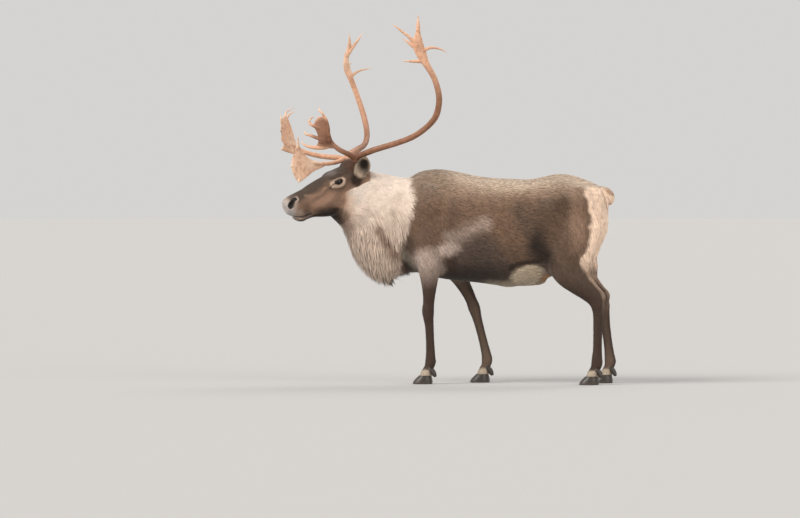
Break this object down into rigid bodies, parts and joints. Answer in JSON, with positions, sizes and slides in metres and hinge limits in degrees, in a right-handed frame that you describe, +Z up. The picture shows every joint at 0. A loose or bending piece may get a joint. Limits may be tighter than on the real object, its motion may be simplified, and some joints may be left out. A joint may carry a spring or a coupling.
{
  "type": "standing caribou bull model",
  "caption": "Life-size still model of a caribou bull standing on four legs with its head turned to its left, with tall branching antlers and a pale throat mane.",
  "frame": {"origin": "centre of the underside of the whole model's box, on the floor between the feet", "axes": "+Z up, the height and longest extent; -X the way the body faces, its right side +Y; Y the shortest extent"},
  "size_m": [1.7994, 0.8892, 1.9903],
  "materials": {
    "hide_brown": "short dense fur, matte",
    "hide_cream": "long soft fur, matte",
    "hide_dark": "short dark fur, matte",
    "antler_bone": "dry hard bone, lightly grained",
    "hoof_horn": "smooth dark horn",
    "eye_wet": "wet dark eye, polished"
  },
  "bodies": {
    "root": {"antler_left_base": "antler_bone", "antler_left_beam": "antler_bone", "antler_left_bez": "antler_bone", "antler_left_crown": "antler_bone", "antler_right_base": "antler_bone", "antler_right_beam": "antler_bone", "antler_right_bez": "antler_bone", "antler_right_brow": "antler_bone", "antler_right_crown": "antler_bone", "ear_left": "hide_dark", "ear_right": "hide_dark", "eye_left": "eye_wet", "eye_right": "eye_wet", "head": "hide_dark", "hoof_front_left_inner": "hoof_horn", "hoof_front_left_outer": "hoof_horn", "hoof_front_right_inner": "hoof_horn", "hoof_front_right_outer": "hoof_horn", "hoof_hind_left_inner": "hoof_horn", "hoof_hind_left_outer": "hoof_horn", "hoof_hind_right_inner": "hoof_horn", "hoof_hind_right_outer": "hoof_horn", "leg_front_left": "hide_dark", "leg_front_right": "hide_dark", "leg_hind_left": "hide_dark", "leg_hind_right": "hide_dark", "neck": "hide_cream", "tail": "hide_brown", "torso": "hide_brown"}
  },
  "joints": []
}
